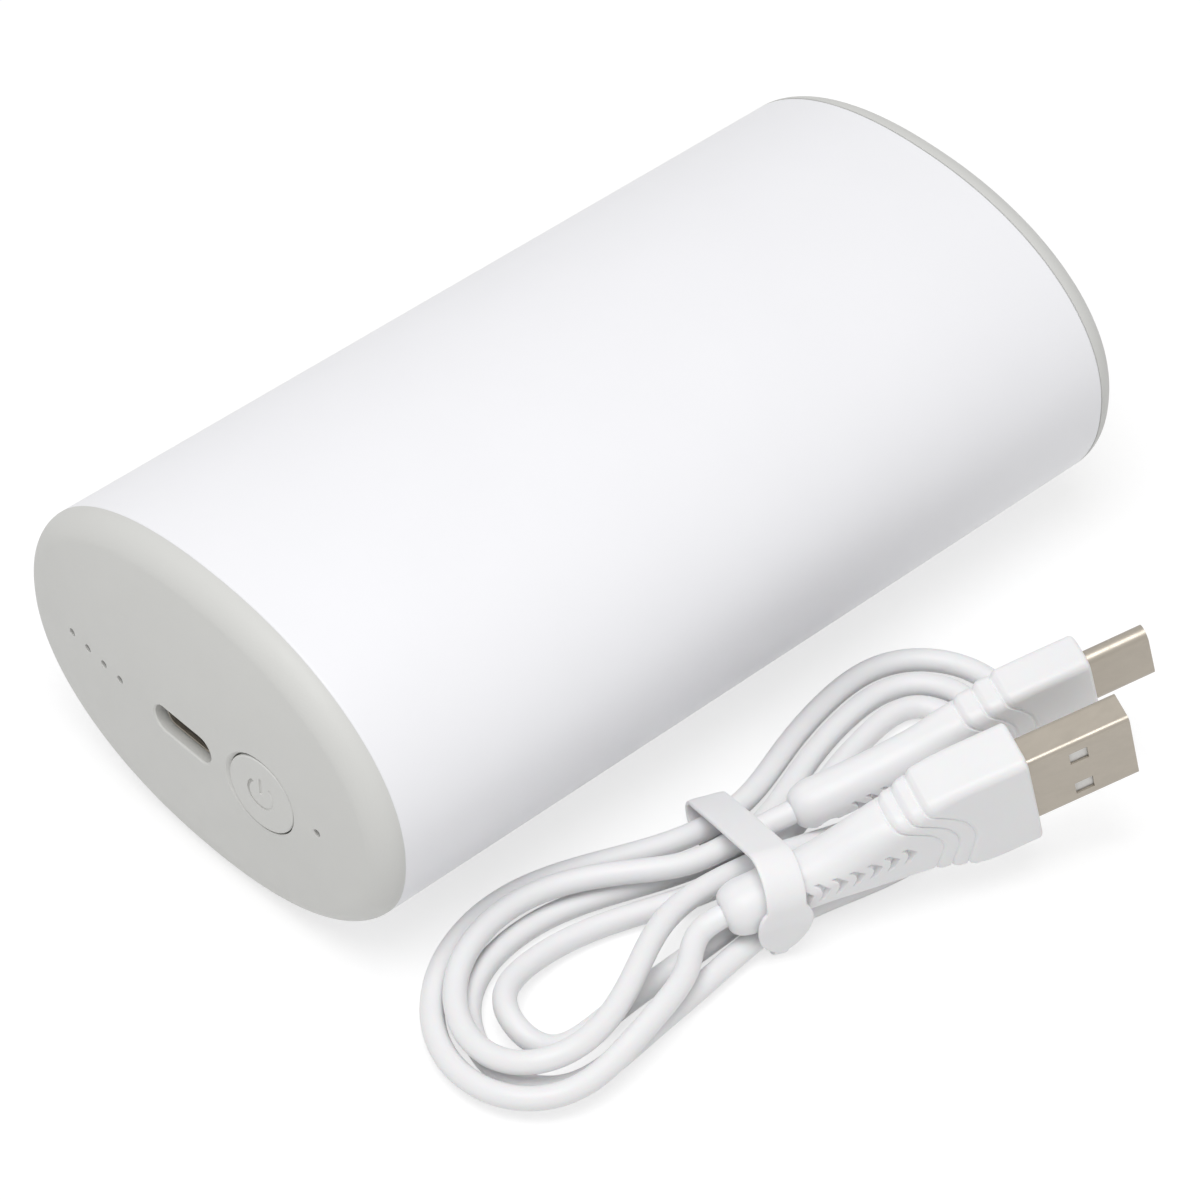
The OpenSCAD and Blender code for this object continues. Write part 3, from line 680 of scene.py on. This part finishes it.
# Warmer body
BODY_W = 68
BODY_H = 46
SLEEVE_L = 117.4
SLEEVE_WALL = 1.4
OVAL_POWER = 2.16
OVAL_SIDES = 256
EDGE_ROUND = 0.3
EDGE_STEPS = 6
CAP_RISE = 5.9
DOME_SAG = 2.8
DOME_STEPS = 24
CAP_EDGE = 3.2
CAP_EDGE_STEPS = 16
CAP_WALL = 2
CAP_FOOT = 0.2
SKIRT_L = 6.7
SKIRT_GAP = 0.1
SKIRT_WALL = 1.4
# Where the skirt's inside turns into the dome's, and a ring on the way to its middle
INNER_EDGE = 3.2
INNER_MIDDLE = 0.5
INNER_SHARE = 0.55
# At the seam the edge stops just short of the sleeve's end, and the foot touches it
SEAM_INSET = 0.05
SEAM_BACK = 0.02
SEAM_TOUCH = 0.001
HALF_W = BODY_W / 2
MID_Z = BODY_H / 2
FACE_Y = -SLEEVE_L / 2
APEX_Y = FACE_Y - CAP_RISE


def oval_ring(inset, y, share=1.0):
    """The oval section, drawn in by inset millimetres and then scaled."""
    ring = []
    for angle in angles(OVAL_SIDES):
        x, z = power_point((HALF_W - inset) * share, (MID_Z - inset) * share, angle, OVAL_POWER)
        ring.append((x, y, MID_Z + z))
    return ring


def make_sleeve():
    rings = []
    for end in (-1, 1):
        arc = [(EDGE_ROUND * (1 - math.sin(a)), EDGE_ROUND * (1 - math.cos(a)))
               for a in quarter(EDGE_STEPS)]
        outer = [oval_ring(inset, end * (SLEEVE_L / 2 - back)) for inset, back in arc]
        rings += outer if end < 0 else outer[::-1]
    rings += [oval_ring(SLEEVE_WALL, SLEEVE_L / 2), oval_ring(SLEEVE_WALL, -SLEEVE_L / 2)]
    sleeve = loft("sleeve_shell", rings, closed=True)
    dress(sleeve, "sleeve_white", "housing", ["outer_sleeve"], sharp=40)


def dome(k):
    """How far the face stands out at a share of the way from its middle to its side."""
    return CAP_RISE - DOME_SAG * k * k


def cap_rings():
    """The face from its middle outwards, the rolled edge, the skirt and the inside."""
    edge_k = 1 - CAP_EDGE / HALF_W
    shares = [i / DOME_STEPS for i in range(1, DOME_STEPS)]
    rings = [oval_ring(CAP_EDGE, FACE_Y - dome(edge_k * t), t) for t in shares]
    for i in range(CAP_EDGE_STEPS + 1):
        angle = math.pi / 2 * (1 - i / CAP_EDGE_STEPS)
        inset = CAP_EDGE * (1 - math.cos(angle))
        rings.append(oval_ring(inset, FACE_Y - dome(1 - inset / HALF_W) * math.sin(angle)))
    rim = SLEEVE_WALL + SKIRT_GAP
    inner = rim + SKIRT_WALL
    rings += [oval_ring(SEAM_INSET, FACE_Y - SEAM_BACK),
              oval_ring(CAP_FOOT, FACE_Y + SEAM_TOUCH),
              oval_ring(rim, FACE_Y + SEAM_TOUCH),
              oval_ring(rim, FACE_Y + SKIRT_L),
              oval_ring(inner, FACE_Y + SKIRT_L),
              oval_ring(inner, FACE_Y - CAP_FOOT),
              oval_ring(rim + INNER_EDGE, FACE_Y - dome(edge_k) + CAP_WALL),
              oval_ring(inner, FACE_Y - dome(INNER_MIDDLE) + CAP_WALL, INNER_SHARE)]
    return rings


def cap_mesh(name, side):
    rings = [[(x, -side * y, z) for x, y, z in ring] for ring in cap_rings()]
    return loft(name, rings, (0, -side * APEX_Y, MID_Z),
                (0, -side * (APEX_Y + CAP_WALL), MID_Z))


# Control face
BUTTON_X = 14.1
BUTTON_R = 5.4
BUTTON_GAP = 0.2
BUTTON_SIDES = 128
BUTTON_RINGS = 14
BUTTON_RISE = 0.05
BUTTON_ROUND = 0.18
ROUND_STEPS = 5
FLANGE_BACK = 3.3
FLANGE_W = 1
FLANGE_THICK = 0.8
STEM_R = 1.4
STEM_END_Y = -59.05
PORT_W = 10.6
PORT_H = 3.9
PORT_SIDES = 64
LED_BORE = 1.1
LED_SIDES = 32
LED_XS = (-22.7, -19.2, -15.7, -12.3, 23.4)
PORT_FLARE = 0.25
BORE_FLARE = 0.18
LED_FLARE = 0.06
BORE_DEPTH = 6
# How far a cutter stands out of the face, and where its flare starts
TOOL_RISE = 1
TOOL_START = 0.01
SIGN_R = 2.1
SIGN_LINE = 0.24
SIGN_GAP = 40
SIGN_STEPS = 48
BAR_LOW = 0.1
BAR_L = 2.5
BAR_STEPS = 8
ROD_SIDES = 16


def face_depth(x):
    """Where the domed face lies at a distance from its middle."""
    return FACE_Y - dome(abs(x) / HALF_W)


def bore_tool(outline, x, flare):
    """A cutter whose mouth widens by flare at the domed face."""
    face_y = face_depth(x)
    levels = [(face_y - TOOL_RISE, flare + TOOL_RISE), (face_y - TOOL_START, flare + TOOL_START),
              (face_y + flare, 0), (face_y + BORE_DEPTH, 0)]
    rings = []
    for y, grow in levels:
        rings.append([(x + px, y, MID_Z + pz) for px, pz in outline(grow)])
    return loft("tool", rings, (x, levels[0][0], MID_Z), (x, levels[-1][0], MID_Z))


def round_outline(radius, sides):
    return lambda grow: [((radius + grow) * math.cos(a), (radius + grow) * math.sin(a))
                         for a in angles(sides)]


def port_outline(grow):
    r = PORT_H / 2 + grow
    points = []
    for i in range(PORT_SIDES):
        angle = 2 * math.pi * (i + 0.5) / PORT_SIDES
        side = math.copysign((PORT_W - PORT_H) / 2, math.cos(angle))
        points.append((side + r * math.cos(angle), r * math.sin(angle)))
    return points


def make_caps():
    button_bore = round_outline(BUTTON_R + BUTTON_GAP, BUTTON_SIDES)
    light_bore = round_outline(LED_BORE / 2, LED_SIDES)
    front = cap_mesh("front_cap_shell", -1)
    tools = [bore_tool(port_outline, 0, PORT_FLARE),
             bore_tool(button_bore, BUTTON_X, BORE_FLARE)]
    cut(front, tools + [bore_tool(light_bore, x, LED_FLARE) for x in LED_XS])
    dress(front, "cap_grey", "housing", ["front_cap"])
    rear = cap_mesh("rear_cap_shell", 1)
    dress(rear, "cap_grey", "housing", ["rear_cap"])


def make_button():
    """The button follows the dome, with a generic power sign pressed into it."""
    flange_y = APEX_Y + FLANGE_BACK
    flange_end_y = flange_y + FLANGE_THICK
    top = (BUTTON_X, face_depth(BUTTON_X) + BUTTON_RISE, MID_Z)

    def ring(radius, depth):
        """A circle about the button's axis, whose depth goes by its x."""
        points = []
        for angle in angles(BUTTON_SIDES):
            x = BUTTON_X + radius * math.cos(angle)
            points.append((x, depth(x), MID_Z + radius * math.sin(angle)))
        return points

    def face_ring(radius, drop):
        return ring(radius, lambda x: face_depth(x) + BUTTON_RISE + drop)

    rings = [face_ring(BUTTON_R * k / BUTTON_RINGS, 0) for k in range(1, BUTTON_RINGS)]
    rings += [face_ring(BUTTON_R - BUTTON_ROUND * (1 - math.sin(a)),
                        BUTTON_ROUND * (1 - math.cos(a))) for a in quarter(ROUND_STEPS)]
    for radius, y in ((BUTTON_R, flange_y), (BUTTON_R + FLANGE_W, flange_y),
                      (BUTTON_R + FLANGE_W, flange_end_y), (STEM_R, flange_end_y),
                      (STEM_R, STEM_END_Y)):
        rings.append(ring(radius, lambda x: y))
    button = loft("power_button_cap", rings, top, (BUTTON_X, STEM_END_Y, MID_Z))
    cut(button, sign_tools())
    dress(button, "button_grey", "button", ["power_button"])


def sign_tools():
    """A broken ring and a bar, as round rods half sunk in the button's face."""
    middle = Vector((BUTTON_X, face_depth(BUTTON_X) + BUTTON_RISE, MID_Z))
    arc = []
    for i in range(SIGN_STEPS + 1):
        angle = math.radians(90 + SIGN_GAP + (360 - 2 * SIGN_GAP) * i / SIGN_STEPS)
        arc.append(middle + SIGN_R * Vector((math.cos(angle), 0, math.sin(angle))))
    bar = [middle + Vector((0, 0, BAR_LOW + BAR_L * i / BAR_STEPS))
           for i in range(BAR_STEPS + 1)]
    return [sign_rod(arc), sign_rod(bar)]


def sign_rod(line):
    """A round rod along points that lie in a plane square to Y."""
    rings = []
    across = Vector((0, 1, 0))
    for k, p in enumerate(line):
        along = (line[min(k + 1, len(line) - 1)] - line[max(k - 1, 0)]).normalized()
        side = along.cross(across)
        rings.append([p + SIGN_LINE * (math.cos(a) * side + math.sin(a) * across)
                      for a in angles(ROD_SIDES)])
    return loft("tool", rings, line[0], line[-1])


make_sleeve()
make_caps()
make_button()

# Floor, light and backdrop
FLOOR_HALF = 4 / MM
FLOOR_BOUNCE = (0.85, 0.85, 0.85, 1)
FLOOR_SHADE = (0.4, 0.4, 0.4, 1)
FLOOR_GLOW = 0.665
SKY = 0.59
KEY_PLACE = (0.18, -0.28, 1.0)
KEY_TARGET = (0.01, 0, 0.02)
KEY_SIZE = 0.7
KEY_WATTS = 6.3


def make_floor():
    """A pale card for the light, seen as a white floor with soft shadows."""
    signs = ((-1, -1), (1, -1), (1, 1), (-1, 1))
    corners = [(FLOOR_HALF * x, FLOOR_HALF * y, 0) for x, y in signs]
    floor = mesh_of("floor", corners, [(0, 1, 2, 3)])
    material = bpy.data.materials.new("floor_white")
    material.use_nodes = True
    tree = material.node_tree
    tree.nodes.clear()
    seen = seen_directly(tree)
    for_light = add_node(tree, "ShaderNodeBsdfDiffuse", [("Color", FLOOR_BOUNCE)])
    shaded = add_node(tree, "ShaderNodeBsdfDiffuse", [("Color", FLOOR_SHADE)])
    lit = add_node(tree, "ShaderNodeEmission", [("Strength", FLOOR_GLOW)])
    pale = add_node(tree, "ShaderNodeAddShader", [(0, shaded.outputs[0]), (1, lit.outputs[0])])
    both = add_node(tree, "ShaderNodeMixShader",
                    [(0, seen), (1, for_light.outputs[0]), (2, pale.outputs[0])])
    add_node(tree, "ShaderNodeOutputMaterial", [("Surface", both.outputs[0])])
    floor.data.materials.append(material)


def seen_directly(tree):
    """1 where the eye, a reflection or a clear material looks, and 0 for plain light."""
    path = add_node(tree, "ShaderNodeLightPath")
    first = add_node(tree, "ShaderNodeMath", [(0, path.outputs["Is Camera Ray"]),
                                              (1, path.outputs["Is Glossy Ray"])],
                     operation="MAXIMUM")
    return add_node(tree, "ShaderNodeMath", [(0, first.outputs[0]),
                                             (1, path.outputs["Is Transmission Ray"])],
                    operation="MAXIMUM").outputs[0]


def make_world():
    world = bpy.data.worlds.new("world")
    bpy.context.scene.world = world
    world.use_nodes = True
    tree = world.node_tree
    tree.nodes.clear()
    seen = seen_directly(tree)
    sky = add_node(tree, "ShaderNodeBackground", [("Strength", SKY)])
    white = add_node(tree, "ShaderNodeBackground", [("Strength", 1.0)])
    both = add_node(tree, "ShaderNodeMixShader",
                    [(0, seen), (1, sky.outputs[0]), (2, white.outputs[0])])
    add_node(tree, "ShaderNodeOutputWorld", [("Surface", both.outputs[0])])


def make_lamp():
    data = bpy.data.lights.new("key", "AREA")
    data.shape = "DISK"
    data.size = KEY_SIZE
    data.energy = KEY_WATTS
    lamp = bpy.data.objects.new("key", data)
    lamp.location = KEY_PLACE
    lamp.rotation_mode = "QUATERNION"
    lamp.rotation_quaternion = (Vector(KEY_PLACE) - Vector(KEY_TARGET)).to_track_quat("Z", "Y")
    bpy.context.collection.objects.link(lamp)


make_floor()
make_world()
make_lamp()
bpy.context.scene.view_settings.view_transform = "Standard"
